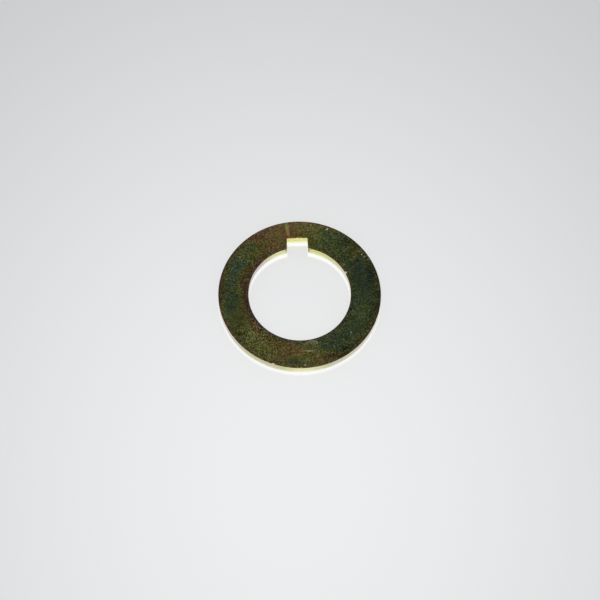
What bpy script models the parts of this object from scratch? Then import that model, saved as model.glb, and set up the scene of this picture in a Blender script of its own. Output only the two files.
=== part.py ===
"""Keyed shim washer: a flat ring stamped from steel strip, with one keyway in its bore.

Sizes are in metres. The bore's axis is +Z and the keyway points to +Y. The washer
lies at Z = 0 on the face whose edges were rolled over by the die, burr side up.
"""

import math

import bmesh
import bpy

MM = 0.001

# Plan of the washer: the bore round the shaft, the ring round the bore, which makes
# the rim 50.8 mm across, and the keyway over the key
SHAFT_DIAMETER = 31.75 * MM
SHAFT_CLEARANCE = 0.11 * MM
RING_WIDTH = 9.47 * MM
KEY_WIDTH = 6.35 * MM
KEY_CLEARANCE = 0.04 * MM
KEYWAY_DEPTH = 3.55 * MM
KEYWAY_DRAFT = math.radians(2.0)
KEYWAY_FLOOR_CORNER = 0.25 * MM
KEYWAY_MOUTH_CORNER = 0.10 * MM

# Section of the sheared edge, from the lower face up to the burr side
STRIP_THICKNESS = 3.175 * MM
ROLL_OVER = 0.30 * MM
BURNISHED_LAND = 1.20 * MM
FRACTURE_RELIEF = 0.05 * MM
BURR_BREAK = 0.06 * MM

# How finely the round stretches are drawn
ARC_STEP = math.radians(3.0)
CORNER_STEP = math.radians(22.5)
ROLL_OVER_FACETS = 3
BURR_BREAK_FACETS = 1
SHARP_EDGE = math.radians(35.0)

# Yellow passivated zinc plating
PLATING_COLOUR = (0.19, 0.17, 0.06, 1.0)
PLATING_ROUGHNESS = 0.3


def clear_scene():
    """Removes every object that the file was opened with."""
    for thing in list(bpy.data.objects):
        bpy.data.objects.remove(thing, do_unlink=True)


def arc(centre, radius, start, end, step):
    """Points along an arc from one angle to another, both ends included."""
    count = max(1, math.ceil(abs(end - start) / step - 1e-6))
    angles = [start + (end - start) * k / count for k in range(count + 1)]
    return [
        (centre[0] + radius * math.cos(a), centre[1] + radius * math.sin(a))
        for a in angles
    ]


def keyed_bore_outline(bore_radius):
    """The punched hole: the bore's circle, opened at +Y by a keyway with drafted sides.

    Only the half at +X is worked out, from the middle of the keyway's floor to the
    bore's lowest point. The other half is its mirror image.
    """
    floor_y = bore_radius + KEYWAY_DEPTH
    floor_half = (KEY_WIDTH + KEY_CLEARANCE) / 2

    # The side wall runs down from the floor's end. Its normal points into the steel.
    along_x, along_y = math.sin(KEYWAY_DRAFT), -math.cos(KEYWAY_DRAFT)
    normal_x, normal_y = math.cos(KEYWAY_DRAFT), math.sin(KEYWAY_DRAFT)

    # The inside corner at the floor touches the floor and the side wall
    inside_centre = (
        floor_half - KEYWAY_FLOOR_CORNER * (1 - normal_y) / normal_x,
        floor_y - KEYWAY_FLOOR_CORNER,
    )
    inside_corner = arc(
        inside_centre, KEYWAY_FLOOR_CORNER, math.pi / 2, KEYWAY_DRAFT, CORNER_STEP
    )

    # The outside corner at the mouth touches the side wall and the bore. The roll-over
    # runs round it, so on the wall it is rounder than on the lower face by that much.
    mouth_radius = KEYWAY_MOUTH_CORNER + ROLL_OVER
    start_x = floor_half + normal_x * mouth_radius
    start_y = floor_y + normal_y * mouth_radius
    towards = along_x * start_x + along_y * start_y
    beyond = start_x**2 + start_y**2 - (bore_radius + mouth_radius) ** 2
    travel = -towards - math.sqrt(towards**2 - beyond)
    mouth_centre = (start_x + along_x * travel, start_y + along_y * travel)
    mouth_angle = math.atan2(mouth_centre[1], mouth_centre[0])
    outside_corner = arc(
        mouth_centre, mouth_radius, math.pi + KEYWAY_DRAFT, math.pi + mouth_angle, CORNER_STEP
    )

    # The bore's arc has a point on each axis, so that the rim's has one there too
    upper_bore = arc((0.0, 0.0), bore_radius, mouth_angle, 0.0, ARC_STEP)
    lower_bore = arc((0.0, 0.0), bore_radius, 0.0, -math.pi / 2, ARC_STEP)
    right_half = (
        [(0.0, floor_y)]
        + inside_corner
        + outside_corner[:-1]
        + upper_bore[:-1]
        + lower_bore
    )
    left_half = [(-x, y) for x, y in reversed(right_half[1:-1])]
    return right_half + left_half


def stamped_blank(outline, rim_radius, height):
    """A closed outline spread outwards to the round rim, and then given a height.

    Each point of the outline gets its partner straight out from it on the rim, so the
    flat faces are one ring of quads. The lower face lies at Z = 0.
    """
    bm = bmesh.new()
    loop = [bm.verts.new((x, y, 0.0)) for x, y in outline]
    hole = [bm.edges.new(pair) for pair in zip(loop, loop[1:] + loop[:1])]
    spread = bmesh.ops.extrude_edge_only(bm, edges=hole)
    for rim_point in [v for v in spread["geom"] if isinstance(v, bmesh.types.BMVert)]:
        rim_point.co *= rim_radius / rim_point.co.length
    raised = bmesh.ops.extrude_face_region(bm, geom=list(bm.faces), use_keep_orig=True)
    top = [v for v in raised["geom"] if isinstance(v, bmesh.types.BMVert)]
    bmesh.ops.translate(bm, verts=top, vec=(0.0, 0.0, height))
    bmesh.ops.recalc_face_normals(bm, faces=bm.faces)
    return bm


def quarter_round(radius, facets):
    """(inset, rise) of each facet that turns a wall over into a face."""
    turns = [math.pi / 2 * k / facets for k in range(facets + 1)]
    return [
        (radius * (math.cos(a) - math.cos(b)), radius * (math.sin(b) - math.sin(a)))
        for a, b in zip(turns, turns[1:])
    ]


def shape_edge(bm, side, steps):
    """Carries the face on one side (+1 upper, -1 lower) outwards through (inset, rise) steps.

    Each step adds one band of wall along the rim and the bore alike.
    """
    face = [f for f in bm.faces if f.normal.z * side > 0.5]
    for inset, rise in steps:
        bmesh.ops.inset_region(
            bm,
            faces=face,
            thickness=inset,
            depth=rise,
            use_boundary=True,
            use_even_offset=True,
        )
        bm.normal_update()


def plating_material():
    """Yellow passivated zinc: a metal with an olive gold cast."""
    material = bpy.data.materials.new("yellow_zinc_plating")
    material.use_nodes = True
    shader = material.node_tree.nodes["Principled BSDF"]
    shader.inputs["Base Color"].default_value = PLATING_COLOUR
    shader.inputs["Metallic"].default_value = 1.0
    shader.inputs["Roughness"].default_value = PLATING_ROUGHNESS
    return material


def make_shim_washer(collection):
    """The one piece: the blank's burnished land, then its lower and upper edges."""
    name = "shim_washer"
    bore_radius = (SHAFT_DIAMETER + SHAFT_CLEARANCE) / 2
    outline = keyed_bore_outline(bore_radius)
    bm = stamped_blank(outline, bore_radius + RING_WIDTH, BURNISHED_LAND)
    fracture_rise = STRIP_THICKNESS - ROLL_OVER - BURNISHED_LAND - BURR_BREAK
    upper_edge = [(FRACTURE_RELIEF, fracture_rise)]
    upper_edge += quarter_round(BURR_BREAK, BURR_BREAK_FACETS)
    shape_edge(bm, +1, upper_edge)
    shape_edge(bm, -1, quarter_round(ROLL_OVER, ROLL_OVER_FACETS))
    bmesh.ops.translate(bm, verts=bm.verts, vec=(0.0, 0.0, ROLL_OVER))
    bmesh.ops.triangulate(bm, faces=bm.faces)

    mesh = bpy.data.meshes.new(name)
    bm.to_mesh(mesh)
    bm.free()
    mesh.materials.append(plating_material())
    mesh.shade_smooth()
    mesh.set_sharp_from_angle(angle=SHARP_EDGE)
    washer = bpy.data.objects.new(name, mesh)
    collection.objects.link(washer)
    return washer


def main():
    """Builds the washer in a collection of its own."""
    clear_scene()
    collection = bpy.data.collections.new("Keyed shim washer")
    bpy.context.scene.collection.children.link(collection)
    make_shim_washer(collection)


main()
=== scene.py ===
# %% [markdown]
# A keyed shim washer, dressed for the camera
#
# A shim washer is a flat ring that takes up play on a shaft. This one has a keyway in
# its bore, so that it turns with the shaft. It is stamped from steel strip, plated with
# zinc and dipped in a chromate bath, which leaves a film of yellow, brown and green.
#
# The frame holds the plain solid at its real size. This script builds a finer washer in
# the same place, tears its sheared walls as a press does, gives each zone of the surface
# its own finish, and sets the washer on a pale floor.

# %% Load the frame
import math

import bmesh
import bpy
from mathutils import Matrix, Vector, noise


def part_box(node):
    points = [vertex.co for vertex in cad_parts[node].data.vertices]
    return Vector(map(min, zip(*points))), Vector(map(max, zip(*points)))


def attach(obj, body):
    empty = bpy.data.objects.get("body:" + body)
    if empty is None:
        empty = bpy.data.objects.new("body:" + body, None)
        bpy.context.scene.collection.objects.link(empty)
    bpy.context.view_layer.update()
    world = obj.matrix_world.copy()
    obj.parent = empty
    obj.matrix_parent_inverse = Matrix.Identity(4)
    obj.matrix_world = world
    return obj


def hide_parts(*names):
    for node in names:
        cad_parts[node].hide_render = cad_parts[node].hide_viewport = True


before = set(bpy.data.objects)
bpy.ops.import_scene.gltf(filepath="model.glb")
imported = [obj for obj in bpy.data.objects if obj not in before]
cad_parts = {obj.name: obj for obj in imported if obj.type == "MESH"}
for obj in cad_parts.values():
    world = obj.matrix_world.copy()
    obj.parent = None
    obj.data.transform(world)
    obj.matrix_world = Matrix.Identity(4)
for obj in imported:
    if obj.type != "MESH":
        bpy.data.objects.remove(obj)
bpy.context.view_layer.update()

MM = 0.001
NODE = "shim_washer"

# %% [markdown]
# What the frame can tell
#
# A copy that is typed in by hand drifts away from its model. The rim, the thickness, the
# bore and the keyway's depth are therefore measured on the frame's own solid, and only
# the sizes that are hard to read from its facets are written down here.

# %% Measure the solid
solid_points = [vertex.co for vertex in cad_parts[NODE].data.vertices]
RIM_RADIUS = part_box(NODE)[1].x
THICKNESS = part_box(NODE)[1].z
BORE_RADIUS = min(point.xy.length for point in solid_points)

KEYWAY_FLOOR_WIDTH = 6.39 * MM
KEYWAY_FLOOR = min(
    p.y for p in solid_points if abs(p.x) < KEYWAY_FLOOR_WIDTH / 2 and p.y > BORE_RADIUS
)
KEYWAY_DRAFT = math.radians(2.0)
INSIDE_CORNER = 0.25 * MM
OUTSIDE_CORNER = 0.40 * MM
ROLL_OVER = 0.30 * MM
BURNISHED_LAND = 1.20 * MM
FRACTURE_RELIEF = 0.05 * MM
BURR_BREAK = 0.06 * MM
print(
    f"rim {RIM_RADIUS / MM:.2f} mm, bore {BORE_RADIUS / MM:.2f} mm, "
    f"keyway floor {KEYWAY_FLOOR / MM:.2f} mm, thickness {THICKNESS / MM:.3f} mm"
)

# %% [markdown]
# Drawing the punch
#
# The punch that made the hole is a disc with a tongue. Its outline could be a boolean of
# two solids, but that leaves small triangles just where the light catches the edge. Here
# one vertex is walked round half of the outline instead: straight along the keyway, and
# round each corner with the spin operator. A mirror makes the other half.

# %% Ways to walk
ON_AXIS = 0.001 * MM
ARC_STEP = math.radians(0.5)
CORNER_STEP = math.radians(11.25)


def walk_to(bm, point, x, y):
    """Draws a straight edge from the point and returns its far end."""
    moved = bmesh.ops.extrude_vert_indiv(bm, verts=[point])["verts"][0]
    moved.co = (x, y, 0.0)
    return moved


def walk_round(bm, point, centre, angle, step):
    """Draws an arc round a centre by spinning the point, and returns its far end."""
    swept = bmesh.ops.spin(
        bm,
        geom=[point],
        cent=(centre[0], centre[1], 0.0),
        axis=(0.0, 0.0, 1.0),
        angle=angle,
        steps=max(1, math.ceil(abs(angle) / step)),
        use_merge=False,
    )
    return swept["geom_last"][0]


def meet_line_and_circle(start, direction, radius):
    """The first point along a line that lies on a circle round the bore's axis."""
    along = start.dot(direction)
    beyond = start.length_squared - radius**2
    return start + direction * (-along - math.sqrt(along**2 - beyond))


print("arcs in steps of", round(math.degrees(ARC_STEP), 2), "degrees")

# %% [markdown]
# Where the corners lie
#
# The keyway's sides lean outwards a little, so that the punch lets go of the steel. Each
# corner is an arc that touches the lines or circles on both of its sides. Its centre lies
# one radius off each of them, and that is enough to work it out.

# %% Walk half of the outline
down_the_side = Vector((math.sin(KEYWAY_DRAFT), -math.cos(KEYWAY_DRAFT)))
into_the_steel = Vector((math.cos(KEYWAY_DRAFT), math.sin(KEYWAY_DRAFT)))
floor_end = Vector((KEYWAY_FLOOR_WIDTH / 2, KEYWAY_FLOOR))
inside_x = floor_end.x - INSIDE_CORNER * (1 - into_the_steel.y) / into_the_steel.x
inside_centre = Vector((inside_x, KEYWAY_FLOOR - INSIDE_CORNER))
outside_centre = meet_line_and_circle(
    floor_end + into_the_steel * OUTSIDE_CORNER, down_the_side, BORE_RADIUS + OUTSIDE_CORNER
)
mouth_angle = math.atan2(outside_centre.y, outside_centre.x)
side_end = outside_centre - into_the_steel * OUTSIDE_CORNER

washer_mesh = bmesh.new()
pen = bmesh.ops.create_vert(washer_mesh, co=(0.0, KEYWAY_FLOOR, 0.0))["vert"][0]
pen = walk_to(washer_mesh, pen, inside_centre.x, KEYWAY_FLOOR)
pen = walk_round(washer_mesh, pen, inside_centre, KEYWAY_DRAFT - math.pi / 2, CORNER_STEP)
pen = walk_to(washer_mesh, pen, side_end.x, side_end.y)
pen = walk_round(washer_mesh, pen, outside_centre, mouth_angle - KEYWAY_DRAFT, CORNER_STEP)
pen = walk_round(washer_mesh, pen, (0.0, 0.0), -mouth_angle, ARC_STEP)
pen = walk_round(washer_mesh, pen, (0.0, 0.0), -math.pi / 2, ARC_STEP)
pen.co.x = 0.0
bmesh.ops.mirror(
    washer_mesh, geom=list(washer_mesh.verts) + list(washer_mesh.edges),
    matrix=Matrix.Identity(4), merge_dist=ON_AXIS, axis="X",
)
outline_is_closed = all(len(v.link_edges) == 2 for v in washer_mesh.verts)
print("outline of", len(washer_mesh.edges), "edges, closed:", outline_is_closed)

# %% [markdown]
# Even steps along the keyway
#
# The arcs come out in short steps, but each straight side of the keyway is one long edge.
# The torn part of a wall needs points at about the size of its grain. Subdividing the
# long edges before they become walls gives the whole wall cells of like size, where a
# subdivision of the finished washer would also cut up its flat faces.

# %% Divide the long edges
GRAIN_CELL = 0.20 * MM

for edge in [e for e in washer_mesh.edges if e.calc_length() > 2 * GRAIN_CELL]:
    cuts = math.ceil(edge.calc_length() / GRAIN_CELL) - 1
    bmesh.ops.subdivide_edges(washer_mesh, edges=[edge], cuts=cuts)
print("outline of", len(washer_mesh.edges), "edges after division")

# %% [markdown]
# From outline to blank
#
# Each point of the outline is sent straight out to the rim, so the flat of the washer is
# one ring of quads with no poles and no long triangles. The ring is then raised by the
# height of the burnished land, the band of wall that the punch rubbed smooth.

# %% Spread the outline to the rim and raise it
spread_out = bmesh.ops.extrude_edge_only(washer_mesh, edges=list(washer_mesh.edges))["geom"]
for rim_point in [part for part in spread_out if isinstance(part, bmesh.types.BMVert)]:
    rim_point.co *= RIM_RADIUS / rim_point.co.length
raised = bmesh.ops.extrude_face_region(
    washer_mesh, geom=list(washer_mesh.faces), use_keep_orig=True
)["geom"]
bmesh.ops.translate(
    washer_mesh,
    verts=[part for part in raised if isinstance(part, bmesh.types.BMVert)],
    vec=(0.0, 0.0, BURNISHED_LAND),
)
bmesh.ops.recalc_face_normals(washer_mesh, faces=washer_mesh.faces)
print("blank of", len(washer_mesh.faces), "faces")

# %% [markdown]
# The section of a sheared edge
#
# A stamped edge has four zones. The die rolls the lower edge over, the punch burnishes a
# land above it, the rest tears away a little further in, and the burr on top is tumbled
# down to a small round. A bevel would treat all edges alike, so each zone is an inset of
# the whole face instead, with its own step inwards and its own rise. A last narrow inset
# stays flat: it keeps smooth shading from bending the light on the face.

# %% Steps of a section
ROLLED_FACE, BURNISHED_WALL, TORN_WALL = 0, 1, 2
ROLL_OVER_FACETS = 6
BURR_FACETS = 3
TORN_BANDS = 10
FLAT_BANDS = [(0.03 * MM, 0.0), (0.06 * MM, 0.0)]
# The upward part of a normal, above which a face is flat, and below which it is a wall.
FLAT, WALL = 0.999, 0.5


def quarter_round(radius, facets):
    """(inset, rise) of each facet that turns a wall over into a face."""
    turns = [math.pi / 2 * k / facets for k in range(facets + 1)]
    return [
        (radius * (math.cos(a) - math.cos(b)), radius * (math.sin(b) - math.sin(a)))
        for a, b in zip(turns, turns[1:])
    ]


def carry_face(bm, side, steps, finish):
    """Insets and raises the face on one side, and gives the new bands a finish."""
    face = [f for f in bm.faces if f.normal.z * side > FLAT]
    for inset, rise in steps:
        bands = bmesh.ops.inset_region(
            bm, faces=face, thickness=inset, depth=rise,
            use_boundary=True, use_even_offset=True,
        )["faces"]
        for band in bands:
            band.material_index = finish
        bm.normal_update()


torn_rise = THICKNESS - ROLL_OVER - BURNISHED_LAND - BURR_BREAK
torn_band = (FRACTURE_RELIEF / TORN_BANDS, torn_rise / TORN_BANDS)
print("torn zone", round(torn_rise / MM, 3), "mm high in", TORN_BANDS, "bands")

# %% [markdown]
# Building the edges up and down
#
# The blank is the burnished land alone. The torn zone and the broken burr are carried
# upwards from it, and the rolled edge downwards, and then the washer is set on its lower
# face. The upper flat is cut into rings, so that a knock on its edge can't tilt the face
# right across.

# %% Shape both edges
FLAT_RINGS = 8
SHORTEST_SPOKE = 4.0 * MM

for face in washer_mesh.faces:
    face.material_index = BURNISHED_WALL if abs(face.normal.z) < WALL else ROLLED_FACE
carry_face(washer_mesh, +1, [torn_band] * TORN_BANDS, TORN_WALL)
carry_face(washer_mesh, +1, quarter_round(BURR_BREAK, BURR_FACETS) + FLAT_BANDS, ROLLED_FACE)
carry_face(washer_mesh, -1, quarter_round(ROLL_OVER, ROLL_OVER_FACETS), BURNISHED_WALL)
carry_face(washer_mesh, -1, FLAT_BANDS, ROLLED_FACE)
bmesh.ops.translate(washer_mesh, verts=washer_mesh.verts, vec=(0.0, 0.0, ROLL_OVER))

spokes = [
    edge for edge in washer_mesh.edges
    if edge.calc_length() > SHORTEST_SPOKE and all(f.normal.z > FLAT for f in edge.link_faces)
]
bmesh.ops.subdivide_edges(washer_mesh, edges=spokes, cuts=FLAT_RINGS - 1)
print("shaped washer of", len(washer_mesh.faces), "faces")

# %% [markdown]
# Tearing the wall
#
# Steel does not part along a clean line. The border between the burnished land and the
# torn zone wanders with the gap between punch and die, and the torn zone itself is a
# coarse grain. Bump could fake this, but it would vanish at the edges and from the
# exported mesh, so the points are moved. Each one only moves along the wall or into the
# steel, which keeps the washer within its true size.

# %% Move the points of the torn zone
LAND_TOP = ROLL_OVER + BURNISHED_LAND
TORN_TOP = THICKNESS - BURR_BREAK
# Layers of roughness: the size of the grains, and how far they move a point.
BORDER_WANDER = [(9.0 * MM, 0.26 * MM), (1.6 * MM, 0.12 * MM), (0.5 * MM, 0.05 * MM)]
TORN_GRAIN = [(1.1 * MM, 0.035 * MM), (0.34 * MM, 0.030 * MM)]
# Under 1, this power brings the grain to its full depth soon after the border.
TEAR_ONSET = 0.5


def rough(point, layers):
    """Sums layers of noise, each with the size of its grains and how far it moves."""
    return sum(depth * noise.noise(point / size) for size, depth in layers)


def share(value, start, end):
    """How far a value is from start to end, kept between 0 and 1."""
    return min(max((value - start) / (end - start), 0.0), 1.0)


washer_mesh.normal_update()
walls = [v for v in washer_mesh.verts if all(abs(f.normal.z) < WALL for f in v.link_faces)]
for point in walls:
    low, high = share(point.co.z, ROLL_OVER, LAND_TOP), share(point.co.z, TORN_TOP, LAND_TOP)
    torn_depth = sum(depth for _, depth in TORN_GRAIN) + rough(point.co, TORN_GRAIN)
    tearing = math.sin(math.pi * high) ** TEAR_ONSET if low == 1.0 else 0.0
    along_wall = Vector((0.0, 0.0, rough(point.co, BORDER_WANDER) * min(low, high)))
    point.co += along_wall - point.normal * torn_depth * tearing
print("moved", len(walls), "points of the walls")

# %% [markdown]
# Handling marks
#
# Washers are tumbled and tipped into bins. That wears the sharp upper edge unevenly all
# round, and knocks nicks in it. The photo shows one clear nick in the bore's edge and
# hints at smaller ones. Each is a push on the points near it, strongest at the middle. A
# boolean with a small ball would cut a crisp crater, where a knock leaves a soft one.

# %% Wear and nick the edges
EDGE_WEAR = [(2.4 * MM, 0.020 * MM), (0.45 * MM, 0.016 * MM)]
# Each nick: angle from +X in degrees, radius of the edge, reach, push outwards, push down.
NICKS = [
    (24.6, BORE_RADIUS, 0.70 * MM, 0.27 * MM, 0.20 * MM),
    (232.0, RIM_RADIUS, 0.50 * MM, -0.12 * MM, 0.10 * MM),
    (248.0, RIM_RADIUS, 0.40 * MM, -0.08 * MM, 0.12 * MM),
    (338.0, RIM_RADIUS, 0.45 * MM, -0.10 * MM, 0.08 * MM),
    (71.0, RIM_RADIUS, 0.35 * MM, -0.07 * MM, 0.08 * MM),
    (196.0, BORE_RADIUS, 0.40 * MM, 0.08 * MM, 0.08 * MM),
]
# Over 1, this power gathers a knock at its middle.
KNOCK_FOCUS = 1.5

for point in [v for v in washer_mesh.verts if v.co.z > TORN_TOP + ON_AXIS and v.normal.z < FLAT]:
    worn = sum(depth for _, depth in EDGE_WEAR) + rough(point.co, EDGE_WEAR)
    point.co -= point.normal * worn
for degrees, radius, reach, outwards, down in NICKS:
    away = Vector((math.cos(math.radians(degrees)), math.sin(math.radians(degrees)), 0.0))
    middle = away * radius + Vector((0.0, 0.0, THICKNESS))
    for point in washer_mesh.verts:
        strength = 1.0 - share((point.co - middle).length, 0.0, reach)
        point.co += (away * outwards - Vector((0.0, 0.0, down))) * strength**KNOCK_FOCUS
washer_mesh.normal_update()
print("nicked the edges in", len(NICKS), "places")

# %% [markdown]
# From working mesh to object
#
# A bmesh is a workbench: what Blender renders and exports is a mesh on an object. Smooth
# shading rounds off the facets, and the narrow flat bands beside the edges keep it off the
# faces. The object stays at the origin, unturned and unscaled, because the washer's place
# is in its mesh already.

# %% Make it an object
washer_data = bpy.data.meshes.new("keyed_washer")
washer_mesh.to_mesh(washer_data)
washer_mesh.free()
washer_data.shade_smooth()
keyed_washer = bpy.data.objects.new("keyed_washer", washer_data)
bpy.context.scene.collection.objects.link(keyed_washer)
print("triangles:", sum(len(face.vertices) - 2 for face in washer_data.polygons))

# %% [markdown]
# Finishes
#
# Zinc plate takes its colour from the chromate bath, which leaves a clear film less than
# a thousandth of a millimetre thick. Light that returns from the top of the film meets
# light that returns from the metal, and what the two leave of each other depends on the
# thickness: a thin film is red-brown, then yellow and olive, then green, and the thickest
# is a dark blue-green. The film drains and dries unevenly, so the colours lie in clouds.
#
# A metal shows its colour in what it reflects, so that colour is the base colour, with
# the metallic value at 1. The film's thickness is drawn first, as one field of numbers,
# and a colour ramp turns it into colours. So the hues follow each other in the real order
# wherever the thickness changes, which separate blotches of colour would not do.

# %% Helpers for materials
WHITE, BLACK = (1.0, 1.0, 1.0, 1.0), (0.0, 0.0, 0.0, 1.0)


def linear(hex_colour):
    """An sRGB hex colour as the linear values that Blender's sockets take."""
    values = [int(hex_colour[k : k + 2], 16) / 255 for k in (1, 3, 5)]
    bent = [v / 12.92 if v <= 0.04045 else ((v + 0.055) / 1.055) ** 2.4 for v in values]
    return (*bent, 1.0)


def start_finish(name, mesh):
    """Puts a new material on a mesh and returns its node tree, still empty."""
    finish = bpy.data.materials.new(name)
    finish.use_nodes = True
    finish.node_tree.nodes.clear()
    mesh.materials.append(finish)
    return finish.node_tree


def add_node(tree, kind, feeds=None, **settings):
    """Adds a node with its settings, and sets or links each input that is named."""
    node = tree.nodes.new(kind)
    for name, value in settings.items():
        setattr(node, name, value)
    for socket, source in (feeds or {}).items():
        if isinstance(source, bpy.types.Node):
            source = source.outputs[0]
        if isinstance(source, bpy.types.NodeSocket):
            tree.links.new(source, node.inputs[socket])
        else:
            node.inputs[socket].default_value = source
    return node


def set_stops(ramp_node, stops):
    """Gives a colour ramp its stops, each a position and a linear colour."""
    elements = ramp_node.color_ramp.elements
    while len(elements) < len(stops):
        elements.new(0.5)
    for element, (position, colour) in zip(elements, stops):
        element.position = position
        element.color = colour


print("the mid grey #808080 is", round(linear("#808080")[0], 3), "in linear light")

# %% [markdown]
# The film on the faces
#
# Three sizes of noise make the film. Clouds 7 mm across are where the bath drained, a
# mottle of 1.6 mm follows the rolled strip, and a grain of 0.4 mm is the zinc itself. The
# real grain is nearer 0.1 mm, too fine for the render, and is drawn coarser here. The
# clouds are looked up at places that another noise has pushed about, which turns round
# blobs into drawn-out ones.

# %% Draw three sizes of noise
CLOUD, MOTTLE, GRAIN = 7.0 * MM, 1.6 * MM, 0.42 * MM
DRIFT_SIZE, DRIFT_SPAN = 4.5 * MM, 4.8 * MM
# A noise runs from 0 to 1 and lies round this middle.
MIDDLE = 0.5

face_tree = start_finish("yellow_passivated_zinc_face", washer_data)
place = add_node(face_tree, "ShaderNodeTexCoord").outputs["Object"]
drift = add_node(
    face_tree, "ShaderNodeTexNoise", {"Vector": place, "Scale": 1 / DRIFT_SIZE, "Detail": 3.0}
)
push = add_node(
    face_tree, "ShaderNodeVectorMath",
    {0: drift.outputs["Color"], 1: (DRIFT_SPAN,) * 3, 2: (-DRIFT_SPAN * MIDDLE,) * 3},
    operation="MULTIPLY_ADD",
)
drifted = add_node(face_tree, "ShaderNodeVectorMath", {0: place, 1: push}, operation="ADD")
clouds = add_node(
    face_tree, "ShaderNodeTexNoise",
    {"Vector": drifted, "Scale": 1 / CLOUD, "Detail": 4.0, "Roughness": 0.6},
)
mottle = add_node(
    face_tree, "ShaderNodeTexNoise", {"Vector": place, "Scale": 1 / MOTTLE, "Detail": 3.0}
)
grain = add_node(
    face_tree, "ShaderNodeTexNoise",
    {"Vector": place, "Scale": 1 / GRAIN, "Detail": 2.0, "Roughness": 0.7},
)
print("film drawn at", [round(size / MM, 2) for size in (CLOUD, MOTTLE, GRAIN)], "mm")

# %% [markdown]
# Thickness and light
#
# Two fields of numbers carry the look of the face: how thick the film is, and how much
# light it gives back. Every pattern on the face is added to both, by its own amounts. The
# middle of each noise is taken off first, so that it works both ways.

# %% Start the film and the light
FILM_MIDDLE = 0.46
CLOUD_FILM, MOTTLE_FILM, GRAIN_FILM = 0.54, 0.60, 0.20
MOTTLE_LIGHT, GRAIN_LIGHT = 0.28, 1.60


def lay_on(tree, pattern, amounts, fields):
    """Adds a pattern to the film and to the light, each by its own amount."""
    return [
        add_node(
            tree, "ShaderNodeMath", {0: pattern, 1: amount, 2: field}, operation="MULTIPLY_ADD"
        )
        for amount, field in zip(amounts, fields)
    ]


film, light = FILM_MIDDLE, 1.0
for pattern, amounts in (
    (clouds, (CLOUD_FILM, 0.0)),
    (mottle, (MOTTLE_FILM, MOTTLE_LIGHT)),
    (grain, (GRAIN_FILM, GRAIN_LIGHT)),
):
    centred = add_node(face_tree, "ShaderNodeMath", {0: pattern, 1: MIDDLE}, operation="SUBTRACT")
    film, light = lay_on(face_tree, centred, amounts, (film, light))
print("film swings by", [CLOUD_FILM, MOTTLE_FILM, GRAIN_FILM], "round", FILM_MIDDLE)

# %% [markdown]
# What a stain is
#
# Noise alone gives a likely washer, but not this one, so its stains are placed one by one.
# A stain is a spherical gradient, moved, turned and stretched by a Mapping node: 1 at its
# middle and 0 at its edge. It counts as full a little before the middle, and rises
# smoothly, so that it has no pointed peak. Painting an image would do it too, but a stain
# is only a few plain numbers, which can be read and changed.

# %% Define a stain
RING_WIDTH = RIM_RADIUS - BORE_RADIUS
STAIN_CORE = 0.8
FACE_DEPTH = THICKNESS / 2 / MM


def add_stain(tree, vector, degrees, across_ring, reach, tilt=0.0, down=FACE_DEPTH):
    """A soft spot at the upper face, its reach in mm along and across the ring, and down."""
    turn = math.radians(degrees)
    radius = BORE_RADIUS + across_ring * RING_WIDTH
    spot = add_node(
        tree, "ShaderNodeMapping",
        {
            "Vector": vector,
            "Location": (radius * math.cos(turn), radius * math.sin(turn), THICKNESS),
            "Rotation": (0.0, 0.0, turn + math.pi / 2 + math.radians(tilt)),
            "Scale": (reach[0] * MM, reach[1] * MM, down * MM),
        },
        vector_type="TEXTURE",
    )
    ball = add_node(tree, "ShaderNodeTexGradient", {"Vector": spot}, gradient_type="SPHERICAL")
    return add_node(
        tree, "ShaderNodeMapRange", {"Value": ball.outputs["Fac"], "From Max": STAIN_CORE},
        interpolation_type="SMOOTHSTEP",
    )


print("stains are full from", STAIN_CORE, "of the way in")
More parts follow.
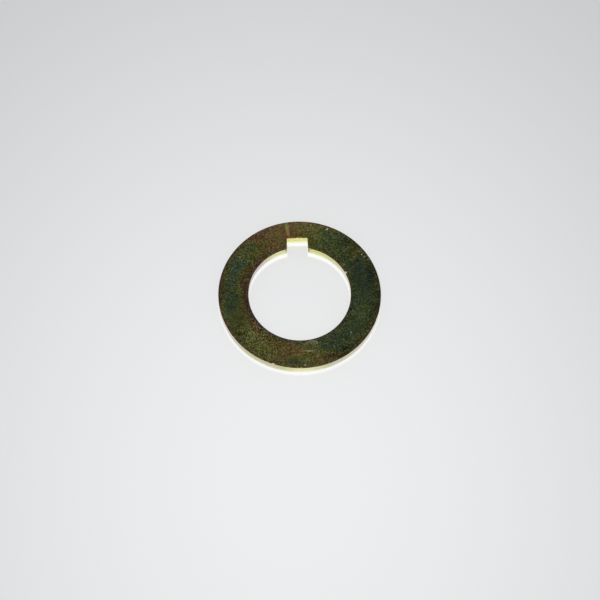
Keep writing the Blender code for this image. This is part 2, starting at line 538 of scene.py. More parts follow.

# %% [markdown]
# The stains of this washer
#
# The film is thick and dark down the right side, thin and red-brown round the keyway, and
# green between two brown borders on the left. Each stain was set one by one, with the
# render beside the photo. They are laid on the drifted places, like the clouds, so none of
# them looks like an ellipse.

# %% Place the stains
# Each stain: degrees from +X, place across the ring from 0 at the bore to 1 at the rim,
# reach along and across in mm, and what it adds to the film and to the light.
STAINS = [
    # The right side
    (350.0, 0.50, (30.0, 13.0), 0.22, -0.16),
    (340.0, 0.50, (7.0, 5.0), -0.10, 0.12),
    (335.0, 0.86, (8.0, 3.2), -0.08, 0.00),
    (345.0, 0.84, (9.0, 3.4), 0.00, -0.24),
    (352.0, 0.93, (6.0, 2.0), -0.06, -0.20),
    (5.0, 0.97, (16.0, 2.4), -0.10, -0.16),
    (8.0, 0.84, (8.0, 4.0), -0.08, -0.18),
    (20.0, 0.52, (8.0, 5.2), 0.20, -0.14),
    # Right of the keyway
    (45.0, 0.40, (9.0, 7.0), 0.16, -0.20),
    (30.0, 0.93, (5.0, 2.0), -0.04, -0.20),
    (48.0, 0.90, (6.0, 2.6), 0.08, -0.34),
    (58.0, 0.50, (8.0, 6.0), 0.08, 0.16),
    (78.0, 0.91, (6.0, 2.4), 0.04, 0.26),
    # Behind the keyway and left of it
    (92.0, 0.45, (5.0, 3.0), -0.06, -0.22),
    (93.0, 0.80, (13.0, 7.0), -0.12, 0.24),
    (102.0, 0.95, (10.0, 2.0), 0.08, 0.06),
    (98.0, 0.62, (4.0, 3.0), -0.04, -0.24),
    (110.0, 0.40, (11.0, 9.0), -0.28, 0.00),
    (113.0, 0.26, (5.0, 3.4), -0.08, 0.00),
    (120.0, 0.86, (5.0, 3.0), -0.26, 0.04),
    (121.0, 0.62, (5.0, 3.2), -0.02, -0.18),
    (120.0, 0.94, (5.0, 2.0), 0.08, -0.14),
    (120.0, 0.14, (4.0, 3.0), -0.05, -0.22),
    (131.0, 0.60, (4.0, 3.0), 0.20, 0.04),
    # The left side
    (142.0, 0.95, (10.0, 2.0), 0.00, -0.26),
    (149.0, 0.06, (10.0, 3.6), -0.26, -0.38),
    (153.0, 0.38, (6.0, 2.8), 0.24, 0.00),
    (156.0, 0.60, (8.0, 4.0), 0.12, 0.26),
    (161.0, 0.80, (5.0, 2.6), -0.12, 0.04),
    (174.0, 0.60, (16.0, 4.5), 0.22, -0.12),
    (176.0, 0.94, (12.0, 2.2), -0.22, -0.46),
    (181.0, 0.10, (4.0, 3.0), 0.00, -0.14),
    (194.0, 0.05, (17.0, 3.6), -0.34, -0.36),
    (195.0, 0.77, (7.0, 2.6), -0.05, 0.34),
    (201.0, 0.60, (8.0, 6.0), 0.12, -0.24),
    # The near left
    (217.0, 0.84, (5.0, 2.4), 0.12, -0.20),
    (222.0, 0.40, (6.0, 4.0), 0.06, 0.22),
    (226.0, 0.66, (8.0, 2.6), -0.02, 0.16),
    (236.0, 0.12, (9.0, 4.0), -0.14, -0.10),
    (243.0, 0.80, (6.0, 2.6), 0.02, 0.12),
    (250.0, 0.80, (4.0, 2.4), -0.16, -0.08),
    # The near side
    (256.0, 0.45, (7.0, 5.0), -0.18, -0.08),
    (263.0, 0.76, (3.4, 2.0), 0.28, 0.00),
    (270.0, 0.40, (4.0, 2.4), 0.00, 0.34),
    (268.0, 0.35, (7.0, 5.0), -0.12, -0.06),
    (274.0, 0.75, (5.0, 2.2), -0.04, 0.24),
    (286.0, 0.60, (6.0, 3.2), -0.20, -0.04),
    (291.0, 0.82, (5.5, 1.6), -0.26, -0.24),
    # The near right
    (297.0, 0.80, (6.0, 3.2), 0.02, -0.34),
    (302.0, 0.38, (7.0, 5.0), 0.24, -0.06),
    (308.0, 0.85, (7.0, 3.0), 0.05, -0.16),
    (316.0, 0.96, (4.0, 1.5), -0.25, 0.00),
    (325.0, 0.88, (17.0, 3.6), -0.05, -0.15),
]

for degrees, across_ring, reach, thicker, lighter in STAINS:
    stain = add_stain(face_tree, drifted, degrees, across_ring, reach)
    film, light = lay_on(face_tree, stain, (thicker, lighter), (film, light))
print("placed", len(STAINS), "stains")

# %% [markdown]
# The film at the edges
#
# Liquid pulls back from a sharp edge as it dries, so the film is thin and brown in a
# border along the bore and the rim. In a wider border the face is a little darker and
# greyer, and its last few tenths of a millimetre, where it turns over, are dark. How far a
# point is from bore to rim goes through a ramp for each of these, white at its borders.

# %% Finish the edges
WIDE_BORDER = [(0.0, WHITE), (0.35, BLACK), (0.60, BLACK), (0.95, WHITE)]
THIN_BORDER = [(0.0, WHITE), (0.10, BLACK), (0.84, BLACK), (1.0, WHITE)]
DARK_LIP = [(0.0, WHITE), (0.03, BLACK), (0.955, BLACK), (0.985, WHITE)]
WIDE_LIGHT, WIDE_SATURATION = -0.15, 0.90
THIN_FILM = -0.34
LIP_LIGHT = -0.34

level = add_node(
    face_tree, "ShaderNodeVectorMath", {0: place, 1: (1.0, 1.0, 0.0)}, operation="MULTIPLY"
)
from_axis = add_node(face_tree, "ShaderNodeVectorMath", {0: level}, operation="LENGTH")
across = add_node(
    face_tree, "ShaderNodeMapRange",
    {"Value": from_axis.outputs["Value"], "From Min": BORE_RADIUS, "From Max": RIM_RADIUS},
)
borders = []
for stops, amounts in (
    (WIDE_BORDER, (0.0, WIDE_LIGHT)),
    (THIN_BORDER, (THIN_FILM, 0.0)),
    (DARK_LIP, (0.0, LIP_LIGHT)),
):
    border = add_node(face_tree, "ShaderNodeValToRGB", {"Fac": across})
    set_stops(border, stops)
    film, light = lay_on(face_tree, border, amounts, (film, light))
    borders.append(border)
saturation = add_node(
    face_tree, "ShaderNodeMapRange", {"Value": borders[0], "To Min": 1.0, "To Max": WIDE_SATURATION}
)
print("thin film for", round(THIN_BORDER[1][0] * RING_WIDTH / MM, 1), "mm from the bore")

# %% [markdown]
# The shaded near lip
#
# Along the edge of the hole nearest the camera and the lamp, where the edge turns down
# away from them, the face is painted darker and greyer in a hairline of shade. A ramp finds
# the lip of the hole, a Map Range finds the near side, and their product says how much of
# the painted shade there is.

# %% Paint the shade on the near lip
HOLE_LIP = [(0.0, WHITE), (0.15, BLACK)]
NEAR_START, NEAR_END = 2.0 * MM, -8.0 * MM
# A painted shade: darker and greyer along the hole's edge nearest the lamp and camera.
NEAR_SHADE_FILM, NEAR_SHADE_LIGHT, NEAR_SHADE_GREY = 0.10, -0.28, 0.50

hole_lip = add_node(face_tree, "ShaderNodeValToRGB", {"Fac": across})
set_stops(hole_lip, HOLE_LIP)
place_y = add_node(face_tree, "ShaderNodeSeparateXYZ", {"Vector": place}).outputs["Y"]
near_side = add_node(
    face_tree, "ShaderNodeMapRange",
    {"Value": place_y, "From Min": NEAR_START, "From Max": NEAR_END},
)
near_shade = add_node(
    face_tree, "ShaderNodeMath", {0: hole_lip, 1: near_side}, operation="MULTIPLY"
)
film, light = lay_on(face_tree, near_shade, (NEAR_SHADE_FILM, NEAR_SHADE_LIGHT), (film, light))
saturation = add_node(
    face_tree, "ShaderNodeMath", {0: near_shade, 1: -NEAR_SHADE_GREY, 2: saturation}, operation="MULTIPLY_ADD"
)
print("the drop is whole beyond", round(-NEAR_END / MM, 1), "mm on the near side")

# %% [markdown]
# A run of liquid
#
# Between the keyway and the rim a run of liquid dried as a narrow light streak. It is a
# stain like the others, only long and thin, and it isn't drifted, because it ran straight.

# %% Let the liquid run
RUN_DEGREES, RUN_ACROSS, RUN_REACH = 97.4, 0.76, (0.85, 4.4)
RUN_FILM, RUN_LIGHT = 0.28, 1.85

run = add_stain(face_tree, place, RUN_DEGREES, RUN_ACROSS, RUN_REACH)
film, light = lay_on(face_tree, run, (RUN_FILM, RUN_LIGHT), (film, light))
print("run of liquid", 2 * RUN_REACH[1], "mm long at most")

# %% [markdown]
# Crystals of zinc
#
# The plating is made of crystals that each lie at their own angle, so each catches the
# light a little more or less. That is a painted sheen here: each crystal shows the film's
# colour a little lighter or darker, with a film of its own thickness. A Voronoi texture
# gives every cell three numbers of its own. Noise would blur one crystal into the next. The
# real ones are some hundredths of a millimetre, drawn here as large as they need to be to
# show. The third power leaves most of them dull and a few bright, and in some patches
# they show more, or less, than elsewhere.

# %% Grow the crystals
CRYSTAL = 0.22 * MM
CRYSTAL_FILM = 0.06
DULL_CRYSTAL, BRIGHT_CRYSTAL = 0.62, 2.14
FEW_BRIGHT = 3.0
# Each patch: degrees from +X, place across the ring, reach along and across in mm, and how
# much more the crystals show there.
CRYSTAL_PATCHES = [
    (222.0, 0.34, (7.0, 7.0), 0.75),
    (242.0, 0.60, (7.0, 6.0), 0.20),
    (140.0, 0.50, (8.0, 7.0), 0.20),
    (8.0, 0.44, (12.0, 7.0), -0.45),
    (98.0, 0.70, (7.0, 5.0), -0.42),
    (195.0, 0.45, (9.0, 7.0), -0.38),
    (264.0, 0.78, (7.0, 4.0), -0.40),
    (325.0, 0.50, (6.0, 4.0), -0.35),
]

crystals = add_node(face_tree, "ShaderNodeTexVoronoi", {"Vector": place, "Scale": 1 / CRYSTAL})
crystal = add_node(face_tree, "ShaderNodeSeparateColor", {"Color": crystals.outputs["Color"]})
own_film = add_node(
    face_tree, "ShaderNodeMath", {0: crystal.outputs["Green"], 1: MIDDLE}, operation="SUBTRACT"
)
facing = add_node(
    face_tree, "ShaderNodeMath", {0: crystal.outputs["Red"], 1: FEW_BRIGHT}, operation="POWER"
)
# Painted sheen: each crystal's colour made lighter or darker.
lighter_or_darker = add_node(
    face_tree, "ShaderNodeMapRange",
    {"Value": facing, "To Min": DULL_CRYSTAL - 1.0, "To Max": BRIGHT_CRYSTAL - 1.0},
)
crystals_show = 1.0
for degrees, across_ring, reach, more in CRYSTAL_PATCHES:
    patch = add_stain(face_tree, place, degrees, across_ring, reach)
    crystals_show = add_node(
        face_tree, "ShaderNodeMath", {0: patch, 1: more, 2: crystals_show}, operation="MULTIPLY_ADD"
    )
brightness = add_node(
    face_tree, "ShaderNodeMath", {0: lighter_or_darker, 1: crystals_show, 2: 1.0},
    operation="MULTIPLY_ADD",
)
print("crystals of", round(CRYSTAL / MM, 2), "mm in", len(CRYSTAL_PATCHES), "patches")

# %% [markdown]
# From thickness to colour
#
# Now the film is whole, and the ramp gives each thickness its colour, from the red-brown
# of the thinnest to the blue-green of the thickest. The colours are dark, a painted shade:
# the face is given the dark look of a face that mirrors a dark room, though the room here
# is bright. The light, with the crystals' painted sheen, sets how much of the colour comes
# back.

# %% Colour the film
# Painted shade: these film colours are far darker than the same film on the walls.
SHADED_FILM_COLOURS = [
    (0.00, linear("#74513D")),
    (0.20, linear("#685632")),
    (0.40, linear("#5C5B2D")),
    (0.58, linear("#48522E")),
    (0.76, linear("#3A4633")),
    (1.00, linear("#303B3E")),
]

film = add_node(
    face_tree, "ShaderNodeMath", {0: own_film, 1: CRYSTAL_FILM, 2: film}, operation="MULTIPLY_ADD"
)
light = add_node(face_tree, "ShaderNodeMath", {0: light, 1: brightness}, operation="MULTIPLY")
shaded_film_colour = add_node(face_tree, "ShaderNodeValToRGB", {"Fac": film})
set_stops(shaded_film_colour, SHADED_FILM_COLOURS)
face_colour = add_node(
    face_tree, "ShaderNodeHueSaturation",
    {"Color": shaded_film_colour, "Saturation": saturation, "Value": light},
)
print("ramp of", len(SHADED_FILM_COLOURS), "film colours")

# %% [markdown]
# Painted shine and glints
#
# A crystal that faces the lamp also throws some of the lamp's own light back through the
# film, which is paler than the film's colour. A rare one faces it so well that it glints.
# Both are painted highlights, added to the base colour, and both follow the patches above.
# The mean of the shine is taken off, so that it adds contrast and not haze. A high power
# of the cell's third number makes the glints rare.

# %% Paint the shine and the glints
# Painted highlights in the base colour: the shine of crystals facing the lamp, and rare glints.
CRYSTAL_SHINE = (0.041, 0.041, 0.045)
MEAN_FACING = 0.25
GLINT = (0.120, 0.120, 0.080)
GLINT_RARITY = 14.0

shine = add_node(face_tree, "ShaderNodeMath", {0: facing, 1: MEAN_FACING}, operation="SUBTRACT")
glint = add_node(
    face_tree, "ShaderNodeMath", {0: crystal.outputs["Blue"], 1: GLINT_RARITY}, operation="POWER"
)
for amount, colour in ((shine, CRYSTAL_SHINE), (glint, GLINT)):
    shown = add_node(
        face_tree, "ShaderNodeMath", {0: amount, 1: crystals_show}, operation="MULTIPLY"
    )
    face_colour = add_node(
        face_tree, "ShaderNodeVectorMath", {0: shown, 1: colour, 2: face_colour},
        operation="MULTIPLY_ADD",
    )
print("shine up to", CRYSTAL_SHINE, "and glints up to", GLINT)

# %% [markdown]
# Scratches and painted glints
#
# Where something touched the washer the film is gone, and the zinc shows pale. An arch of
# short strokes lies by the hole on the near side, with a straight scratch below it. The
# specks are as small as the render can show, and most of them are painted glints: pale
# points where the nick and the edge by the rim catch the lamp. Each mark is a stain that
# mixes the pale colour in.

# %% Bare the zinc and paint the glints
# Pale zinc: bare zinc in the scratches, and a painted glint in most specks.
BARE_ZINC_AND_GLINT = linear("#F2EAD6")
# Each mark: degrees from +X, place across the ring, reach along and across in mm, tilt in
# degrees, and how much of the pale colour shows.
MARKS = [
    # The arch and the scratch
    (276.2, 0.10, (1.7, 0.30), 22.0, 0.23),
    (282.8, 0.09, (1.5, 0.34), -21.0, 0.19),
    (285.4, 0.18, (0.8, 0.34), -97.0, 0.24),
    (281.5, 0.13, (2.0, 0.90), -4.0, 0.07),
    (276.5, 0.405, (2.6, 0.30), -8.0, 0.30),
    # The specks: most are painted glints where the nick and the rim's edge catch the lamp
    (24.6, 0.03, (0.40, 0.62), 0.0, 0.90),
    (66.7, 0.88, (0.62, 0.34), 53.0, 0.85),
    (32.8, 0.84, (0.34, 0.32), 0.0, 0.65),
    (30.4, 0.87, (0.34, 0.32), 0.0, 0.32),
    (27.1, 0.92, (0.34, 0.32), 0.0, 0.26),
    (248.9, 0.99, (0.60, 0.42), 0.0, 1.00),
    (271.7, 0.89, (0.42, 0.36), 0.0, 0.50),
    (318.0, 0.50, (0.45, 0.45), 0.0, 0.25),
]

for degrees, across_ring, reach, tilt, paleness in MARKS:
    mark = add_stain(face_tree, place, degrees, across_ring, reach, tilt)
    pale_mix = add_node(face_tree, "ShaderNodeMath", {0: mark, 1: paleness}, operation="MULTIPLY")
    face_colour = add_node(
        face_tree, "ShaderNodeMix", {0: pale_mix, 6: face_colour, 7: BARE_ZINC_AND_GLINT}, data_type="RGBA"
    ).outputs[2]
print("made", len(MARKS), "small marks")

# %% [markdown]
# The gloss of the face
#
# Rolled and plated steel is a soft mirror: it shows the room's tone but no outlines. The
# mottle makes it a little rougher in places, and the grain gives it a relief of 0.03 mm at
# most, too small for the mesh. A metal keeps Blender's own IOR.

# %% Finish the face
# Nearly all of a noise lies between these two values.
NOISE_LOW, NOISE_HIGH = 0.3, 0.7
SMOOTH_FACE, ROUGH_FACE = 0.22, 0.34
# How deep a relief is, and how much of it shows.
FACE_RELIEF = (0.03 * MM, 0.6)


def finish_metal(tree, colour, roughness, pattern, relief):
    """Ends a metal's finish, with a pattern that slopes its surface."""
    slope = add_node(
        tree, "ShaderNodeBump", {"Height": pattern, "Distance": relief[0], "Strength": relief[1]}
    )
    metal = add_node(
        tree, "ShaderNodeBsdfPrincipled",
        {"Base Color": colour, "Metallic": 1.0, "Roughness": roughness, "Normal": slope},
    )
    add_node(tree, "ShaderNodeOutputMaterial", {"Surface": metal})


face_gloss = add_node(
    face_tree, "ShaderNodeMapRange",
    {
        "Value": mottle, "From Min": NOISE_LOW, "From Max": NOISE_HIGH,
        "To Min": SMOOTH_FACE, "To Max": ROUGH_FACE,
    },
)
finish_metal(face_tree, face_colour, face_gloss, grain, FACE_RELIEF)
print("face of", len(face_tree.nodes), "nodes")

# %% [markdown]
# The film on the walls
#
# The walls stand in the pale floor's light and show the same film as a light straw
# yellow. Inside the hole the bath drained slowly, so the film is thicker and yellower
# than on the rim. At the two sides a wall is seen at a grazing angle and its reflection
# pales; that is painted here, as a film so thin that the zinc looks pinkish white and as
# more light. The square of how far sideways a wall faces sets the thickness, and its
# fourth power the painted light. Each goes through two Map Range nodes, one for the hole
# and one for the rim.

# %% Film and light by the place on the walls
MID_RING = (RIM_RADIUS + BORE_RADIUS) / 2
# Each pair: in front and behind, and at the two sides.
# The values at the two sides paint the paler reflection of walls seen at a grazing angle.
HOLE_FILM, RIM_FILM = (0.85, 0.30), (0.70, 0.22)
HOLE_LIGHT, RIM_LIGHT = (0.86, 0.98), (0.74, 0.98)


def add_wall_fields(tree, vector):
    """The film's thickness and light round the washer, with painted paler sides."""
    outwards = add_node(tree, "ShaderNodeVectorMath", {0: vector}, operation="NORMALIZE")
    facing_x = add_node(tree, "ShaderNodeSeparateXYZ", {"Vector": outwards}).outputs["X"]
    sideways = add_node(
        tree, "ShaderNodeMath", {0: facing_x, 1: facing_x}, operation="MULTIPLY"
    )
    far_sideways = add_node(
        tree, "ShaderNodeMath", {0: sideways, 1: sideways}, operation="MULTIPLY"
    )
    from_middle = add_node(tree, "ShaderNodeVectorMath", {0: vector}, operation="LENGTH")
    on_rim = add_node(
        tree, "ShaderNodeMath", {0: from_middle.outputs["Value"], 1: MID_RING},
        operation="GREATER_THAN",
    )
    fields = []
    for how_far, in_hole, at_rim in (
        (sideways, HOLE_FILM, RIM_FILM), (far_sideways, HOLE_LIGHT, RIM_LIGHT)
    ):
        hole_field, rim_field = [
            add_node(tree, "ShaderNodeMapRange", {"Value": how_far, "To Min": start, "To Max": end})
            for start, end in (in_hole, at_rim)
        ]
        fields.append(
            add_node(
                tree, "ShaderNodeMix", {0: on_rim, 2: hole_field, 3: rim_field}, data_type="FLOAT"
            )
        )
    return fields


print("film in the hole from", HOLE_FILM, "and on the rim from", RIM_FILM)

# %% [markdown]
# Stains and colour of the walls
#
# The walls have stains of their own, most of them as high as the wall. The two corners of
# the keyway's mouth are painted dark, most of all at the top: a painted shade where each
# rounded corner turns from the light. A noise of 5 mm keeps the rest from being even. The
# same colours serve the burnished and the torn zone, which differ in how strong the colour
# is.

# %% Colour the walls by place
TINT, TINT_FILM = 5.0 * MM, 0.5
# Each stain: degrees from +X, place across the ring, reach in mm along, across and down, and
# what it adds to the film and to the light. One that reaches 12.7 mm down hardly fades.
WALL_STAINS = [
    (154.0, 0.00, (10.0, 6.0, 12.7), -0.38, -0.14),
    (131.0, 0.00, (6.0, 5.0, 12.7), 0.00, -0.09),
    (112.0, 0.00, (6.0, 5.0, 12.7), -0.14, 0.06),
    (38.0, 0.00, (8.0, 5.0, 12.7), 0.10, -0.05),
    (10.0, 0.00, (5.0, 5.0, 12.7), -0.15, 0.04),
    (290.0, 1.00, (8.0, 5.0, 12.7), -0.10, 0.00),
    (271.0, 1.00, (8.0, 5.0, 12.7), -0.08, 0.24),
    (226.0, 1.00, (9.0, 5.0, 12.7), 0.16, -0.04),
    (90.0, 0.36, (7.0, 4.0, 12.7), -0.04, 0.16),
    # The last two are painted shade on the rounded corners of the keyway's mouth.
    (77.6, 0.01, (0.8, 0.7, 3.6), -0.16, -0.44),
    (102.4, 0.01, (0.8, 0.7, 3.6), -0.12, -0.44),
]
WALL_COLOURS = [
    (0.15, linear("#FBF0EC")),
    (0.38, linear("#F6F0DE")),
    (0.62, linear("#F4F2C6")),
    (0.88, linear("#F3F4A4")),
]


def add_wall_colour(tree, vector, saturation, pattern, darkest, lightest):
    """The film's colour by the place on the walls, with a pattern's light and dark on it."""
    film, light = add_wall_fields(tree, vector)
    for degrees, across_ring, (along, aside, down), thicker, lighter in WALL_STAINS:
        stain = add_stain(tree, vector, degrees, across_ring, (along, aside), down=down)
        film, light = lay_on(tree, stain, (thicker, lighter), (film, light))
    tint = add_node(
        tree, "ShaderNodeTexNoise", {"Vector": vector, "Scale": 1 / TINT, "Detail": 3.0}
    )
    tint = add_node(tree, "ShaderNodeMath", {0: tint, 1: MIDDLE}, operation="SUBTRACT")
    film = add_node(
        tree, "ShaderNodeMath", {0: tint, 1: TINT_FILM, 2: film}, operation="MULTIPLY_ADD"
    )
    colour = add_node(tree, "ShaderNodeValToRGB", {"Fac": film})
    set_stops(colour, WALL_COLOURS)
    colour = add_node(
        tree, "ShaderNodeHueSaturation", {"Color": colour, "Saturation": saturation, "Value": light}
    )
    pattern_light = add_node(
        tree, "ShaderNodeMapRange",
        {
            "Value": pattern, "From Min": NOISE_LOW, "From Max": NOISE_HIGH,
            "To Min": darkest, "To Max": lightest,
        },
    )
    return add_node(tree, "ShaderNodeHueSaturation", {"Color": colour, "Value": pattern_light})


print("walls have", len(WALL_STAINS), "stains")

# %% [markdown]
# The burnished land
#
# The punch rubbed this band of wall bright, and drew fine lines in it along its stroke.
# The lines are a noise squeezed level and stretched upright: 0.12 mm wide and some 2 mm
# long. They change the light and the slope of the surface only a little.

# %% Finish the burnished wall
LINE_WIDTH, LINE_LENGTH = 0.12 * MM, 2.0 * MM
LAND_SATURATION, LAND_ROUGHNESS = 0.90, 0.20
DARK_LINE, LIGHT_LINE = 0.93, 1.04
LAND_RELIEF = (0.01 * MM, 0.35)

land_tree = start_finish("yellow_passivated_burnished_land", washer_data)
land_place = add_node(land_tree, "ShaderNodeTexCoord").outputs["Object"]
upright = add_node(
    land_tree, "ShaderNodeMapping",
    {"Vector": land_place, "Scale": (1.0, 1.0, LINE_WIDTH / LINE_LENGTH)},
)
lines = add_node(
    land_tree, "ShaderNodeTexNoise", {"Vector": upright, "Scale": 1 / LINE_WIDTH, "Detail": 2.0}
)
land_colour = add_wall_colour(
    land_tree, land_place, LAND_SATURATION, lines, DARK_LINE, LIGHT_LINE
)
finish_metal(land_tree, land_colour, LAND_ROUGHNESS, lines, LAND_RELIEF)
print("burnished land with lines", round(LINE_WIDTH / MM, 2), "mm wide")

# %% [markdown]
# The torn wall
#
# Above the land the steel tore, and the plating covers its grain without hiding it. It is
# the same film on a rougher ground, so it is a little deeper in colour and duller. The
# mesh has the coarse grain already, and a bump of 0.15 mm adds what is finer than that.

# %% Finish the torn wall
TORN_SPECK = 0.15 * MM
TORN_SATURATION, TORN_ROUGHNESS = 1.15, 0.34
DARK_SPECK, LIGHT_SPECK = 0.84, 1.08
TORN_RELIEF = (0.03 * MM, 0.8)

torn_tree = start_finish("yellow_passivated_torn_wall", washer_data)
torn_place = add_node(torn_tree, "ShaderNodeTexCoord").outputs["Object"]
specks = add_node(
    torn_tree, "ShaderNodeTexNoise",
    {"Vector": torn_place, "Scale": 1 / TORN_SPECK, "Detail": 3.0, "Roughness": 0.65},
)
torn_colour = add_wall_colour(
    torn_tree, torn_place, TORN_SATURATION, specks, DARK_SPECK, LIGHT_SPECK
)
finish_metal(torn_tree, torn_colour, TORN_ROUGHNESS, specks, TORN_RELIEF)
print("finishes:", [finish.name for finish in washer_data.materials])

# %% [markdown]
# The camera
#
# The photo was taken from well above with a long lens. The angle, the distance and the
# focal length were worked out from the two rims, the keyway's edges and the height of the
# walls, as they lie in the picture. The keyway points a little to the left of straight
# up, which is the camera standing a little to the washer's side.

# %% Place the camera
CAMERA_AZIMUTH = math.radians(-3.754)
CAMERA_ELEVATION = math.radians(64.58)
CAMERA_DISTANCE = 659.9 * MM
CAMERA_ROLL = math.radians(1.531)
FOCAL_PIXELS = 2107.0
FRAME_PIXELS = 600.0
SENSOR = 36.0
AIM = Vector((0.127 * MM, -0.561 * MM, -0.304 * MM))


def towards(azimuth, elevation):
    """The unit vector from the washer out to a viewer at that azimuth and elevation."""
    level = math.cos(elevation)
    return Vector((math.sin(azimuth) * level, -math.cos(azimuth) * level, math.sin(elevation)))


camera_data = bpy.data.cameras.new("camera")
camera_data.sensor_width = SENSOR
camera_data.lens = FOCAL_PIXELS / FRAME_PIXELS * SENSOR
camera = bpy.data.objects.new("camera", camera_data)
bpy.context.scene.collection.objects.link(camera)
back = towards(CAMERA_AZIMUTH, CAMERA_ELEVATION)
look = (-back).to_track_quat("-Z", "Y").to_matrix() @ Matrix.Rotation(CAMERA_ROLL, 3, "Z")
camera.matrix_world = Matrix.Translation(AIM + back * CAMERA_DISTANCE) @ look.to_4x4()
bpy.context.scene.camera = camera
bpy.context.scene.view_settings.view_transform = "Standard"
print("lens of", round(camera_data.lens, 1), "mm")

# %% [markdown]
# The lamp
#
# One soft round lamp stands on the camera's side of the washer, a little steeper above it.
# It brightens the walls that face it, and gives the washer its short soft shadow.

# %% Hang the lamp
LAMP_ELEVATION = math.radians(70.0)
LAMP_DISTANCE = 430.0 * MM
LAMP_WIDTH = 80.0 * MM
LAMP_WATTS = 0.82

lamp_data = bpy.data.lights.new("soft_lamp", "AREA")
lamp_data.shape = "DISK"
lamp_data.size = LAMP_WIDTH
lamp_data.energy = LAMP_WATTS
lamp = bpy.data.objects.new("soft_lamp", lamp_data)
bpy.context.scene.collection.objects.link(lamp)
lamp_side = towards(CAMERA_AZIMUTH, LAMP_ELEVATION)
lamp_turn = (-lamp_side).to_track_quat("-Z", "Y").to_matrix().to_4x4()
lamp.matrix_world = Matrix.Translation(lamp_side * LAMP_DISTANCE) @ lamp_turn
print("lamp", round(lamp.location.z / MM), "mm up")

# %% [markdown]
# The room
#
# A polished metal is a picture of its room, so the room is lit as well as the washer. The
# world is an even grey-white that dims a little overhead, which the flat face mirrors.
# The camera itself sees one plain backdrop. Lamp and room together light the floor so
# that its colour comes out about as it is written.

# %% Light the room
ROOM_LOW, ROOM_HIGH = 0.68, 0.58
ROOM_TOP = 0.9
BACKDROP = 0.68

world = bpy.data.worlds.new("studio")
bpy.context.scene.world = world
world.use_nodes = True
room_tree = world.node_tree
room_tree.nodes.clear()
room_direction = add_node(room_tree, "ShaderNodeTexCoord").outputs["Generated"]
room_height = add_node(room_tree, "ShaderNodeSeparateXYZ", {"Vector": room_direction}).outputs["Z"]
room_light = add_node(
    room_tree, "ShaderNodeMapRange",
    {"Value": room_height, "From Max": ROOM_TOP, "To Min": ROOM_LOW, "To Max": ROOM_HIGH},
    interpolation_type="SMOOTHSTEP",
)
seen_directly = add_node(room_tree, "ShaderNodeLightPath").outputs["Is Camera Ray"]
room_strength = add_node(
    room_tree, "ShaderNodeMix", {0: seen_directly, 2: room_light, 3: BACKDROP}, data_type="FLOAT"
)
room_glow = add_node(
    room_tree, "ShaderNodeBackground", {"Color": WHITE, "Strength": room_strength}
)
add_node(room_tree, "ShaderNodeOutputWorld", {"Surface": room_glow})
print("room from", ROOM_LOW, "at eye level to", ROOM_HIGH, "overhead")

# %% [markdown]
# The floor
#
# The washer lies on pale card, a single large square. Only from very low down does its far
# edge show, where it meets the backdrop. It isn't part of the washer.

# %% Lay the floor
FLOOR_HALF = 1.5

floor_mesh = bmesh.new()
bmesh.ops.create_grid(floor_mesh, x_segments=1, y_segments=1, size=FLOOR_HALF)
floor_data = bpy.data.meshes.new("pale_floor")
floor_mesh.to_mesh(floor_data)
floor_mesh.free()
pale_floor = bpy.data.objects.new("pale_floor", floor_data)
bpy.context.scene.collection.objects.link(pale_floor)
print("floor", 2 * FLOOR_HALF, "m wide")

# %% [markdown]
# How the card looks
#
# Real card is lit by a whole room. Here the walls would tint it more than they do in the
# photo, and far from the lamp it would go grey. So about half of what the camera and the
# reflections see of the card is its own glow. The glow is an oval pool, longer away from
# the camera than across, which fades smoothly from the brightest place. It comes back far
# away, where the floor meets the backdrop. The other half is lit by the lamp and the room
# and takes the washer's shadow.

# %% Mix the card's tone
CARD = linear("#EAEBEC")
OWN_GLOW = 0.525
BRIGHTEST = (-5.0 * MM, -45.0 * MM, 0.0)
POOL_REACH = (195.0 * MM, 255.0 * MM)
FAR_START, FAR_END = 130.0 * MM, 450.0 * MM
LEAST_GLOW, FAR_GLOW = 0.29, 0.50

card_tree = start_finish("matt_white_card", floor_data)
rays = add_node(card_tree, "ShaderNodeLightPath")
seen = add_node(
    card_tree, "ShaderNodeMath",
    {0: rays.outputs["Is Camera Ray"], 1: rays.outputs["Is Glossy Ray"]}, operation="MAXIMUM",
)
lit_share = add_node(
    card_tree, "ShaderNodeMapRange", {"Value": seen, "To Min": 1.0, "To Max": 1.0 - OWN_GLOW}
)
lit_card = add_node(card_tree, "ShaderNodeHueSaturation", {"Color": CARD, "Value": lit_share})

card_place = add_node(card_tree, "ShaderNodeTexCoord").outputs["Object"]
radius = add_node(
    card_tree, "ShaderNodeVectorMath", {0: card_place}, operation="LENGTH"
).outputs["Value"]
aside = add_node(
    card_tree, "ShaderNodeVectorMath", {0: card_place, 1: BRIGHTEST}, operation="SUBTRACT"
)
aside = add_node(
    card_tree, "ShaderNodeVectorMath", {0: aside, 1: (*POOL_REACH, 1.0)}, operation="DIVIDE"
)
how_far = add_node(card_tree, "ShaderNodeVectorMath", {0: aside}, operation="LENGTH")
pool = add_node(
    card_tree, "ShaderNodeMapRange",
    {"Value": how_far.outputs["Value"], "To Min": OWN_GLOW, "To Max": LEAST_GLOW},
    interpolation_type="SMOOTHSTEP",
)
far_off = add_node(
    card_tree, "ShaderNodeMapRange",
    {"Value": radius, "From Min": FAR_START, "From Max": FAR_END, "To Max": FAR_GLOW - LEAST_GLOW},
    interpolation_type="SMOOTHSTEP",
)
card_glow = add_node(card_tree, "ShaderNodeMath", {0: pool, 1: far_off}, operation="ADD")
print("card glows from", OWN_GLOW, "down to", LEAST_GLOW)

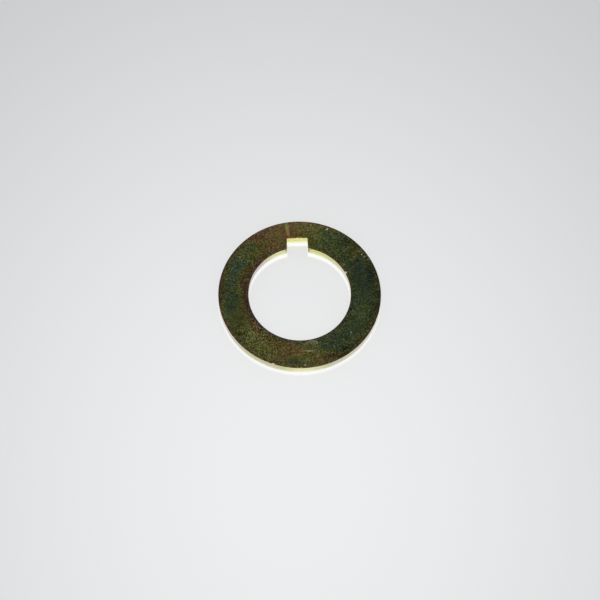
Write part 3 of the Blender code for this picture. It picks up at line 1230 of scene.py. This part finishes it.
# %% [markdown]
# How far the card is from a wall
#
# What the washer does to the light beside it depends on how far a point of the card is
# from the nearest wall. Outside, that is its distance from the rim. Inside, it is its
# distance from the bore, or from the keyway's floor for a point between the keyway's
# sides. Two Mix nodes choose between the three.

# %% Measure from the walls
sides = add_node(card_tree, "ShaderNodeSeparateXYZ", {"Vector": card_place})
off_axis = add_node(card_tree, "ShaderNodeMath", {0: sides.outputs["X"]}, operation="ABSOLUTE")
in_keyway = add_node(
    card_tree, "ShaderNodeMath", {0: off_axis, 1: KEYWAY_FLOOR_WIDTH / 2}, operation="LESS_THAN"
)
from_bore = add_node(
    card_tree, "ShaderNodeMath", {0: BORE_RADIUS, 1: radius}, operation="SUBTRACT"
)
from_keyway = add_node(
    card_tree, "ShaderNodeMath", {0: KEYWAY_FLOOR, 1: sides.outputs["Y"]}, operation="SUBTRACT"
)
from_hole = add_node(
    card_tree, "ShaderNodeMix", {0: in_keyway, 2: from_bore, 3: from_keyway}, data_type="FLOAT"
)
from_rim = add_node(
    card_tree, "ShaderNodeMath", {0: radius, 1: RIM_RADIUS}, operation="SUBTRACT"
)
outside = add_node(
    card_tree, "ShaderNodeMath", {0: radius, 1: MID_RING}, operation="GREATER_THAN"
)
from_wall = add_node(
    card_tree, "ShaderNodeMix", {0: outside, 2: from_hole, 3: from_rim}, data_type="FLOAT"
)
print("card outside", round(MID_RING / MM, 2), "mm belongs to the rim")

# %% [markdown]
# The bright line round the foot
#
# Where the lamp strikes a wall its light is thrown back on the card, in a line as wide as
# the washer is high over the tangent of the lamp's angle. A path tracer finds such light
# slowly and noisily, so the card glows there instead. The line is narrower where the wall
# turns away from the lamp, and nothing is left of it where the wall faces away. Inside the
# hole the walls face each other and the line is brighter than along the rim.

# %% Throw the lamp's light back on the floor
BOUNCE = THICKNESS / math.tan(LAMP_ELEVATION)
BOUNCE_SOFTNESS = 0.7 * MM
HOLE_BOUNCE, RIM_BOUNCE = 0.23, 0.16
RIM_NARROWING = 0.8

outward = add_node(card_tree, "ShaderNodeVectorMath", {0: card_place}, operation="NORMALIZE")
facing_lamp = add_node(
    card_tree, "ShaderNodeVectorMath", {0: outward, 1: towards(CAMERA_AZIMUTH, 0.0)},
    operation="DOT_PRODUCT",
).outputs["Value"]
widest = add_node(
    card_tree, "ShaderNodeMapRange",
    {"Value": outside, "To Min": -BOUNCE, "To Max": BOUNCE * RIM_NARROWING},
)
line_width = add_node(
    card_tree, "ShaderNodeMath", {0: facing_lamp, 1: widest}, operation="MULTIPLY"
)
within = add_node(
    card_tree, "ShaderNodeMath", {0: line_width, 1: from_wall}, operation="SUBTRACT"
)
line = add_node(
    card_tree, "ShaderNodeMapRange",
    {"Value": within, "From Min": -BOUNCE_SOFTNESS / 2, "From Max": BOUNCE_SOFTNESS / 2},
)
strength = add_node(
    card_tree, "ShaderNodeMapRange", {"Value": outside, "To Min": HOLE_BOUNCE, "To Max": RIM_BOUNCE}
)
card_glow = add_node(
    card_tree, "ShaderNodeMath", {0: line, 1: strength, 2: card_glow}, operation="MULTIPLY_ADD"
)
print("bright line", round(BOUNCE / MM, 2), "mm wide")

# %% [markdown]
# Matt card
#
# Card has no gloss to speak of, so its roughness is at 1 and its specular level at 0. Only
# the camera and reflections see the glow, and they see the lit card dimmed to make room
# for it. To every other ray it is plain card.

# %% Finish the card
card_glow = add_node(card_tree, "ShaderNodeMath", {0: card_glow, 1: seen}, operation="MULTIPLY")
card_surface = add_node(
    card_tree, "ShaderNodeBsdfPrincipled",
    {
        "Base Color": lit_card, "Roughness": 1.0, "Specular IOR Level": 0.0,
        "Emission Color": CARD, "Emission Strength": card_glow,
    },
)
add_node(card_tree, "ShaderNodeOutputMaterial", {"Surface": card_surface})
print("card of", len(card_tree.nodes), "nodes")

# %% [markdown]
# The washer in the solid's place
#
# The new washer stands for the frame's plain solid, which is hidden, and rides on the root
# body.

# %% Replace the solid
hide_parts(NODE)
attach(keyed_washer, "root")
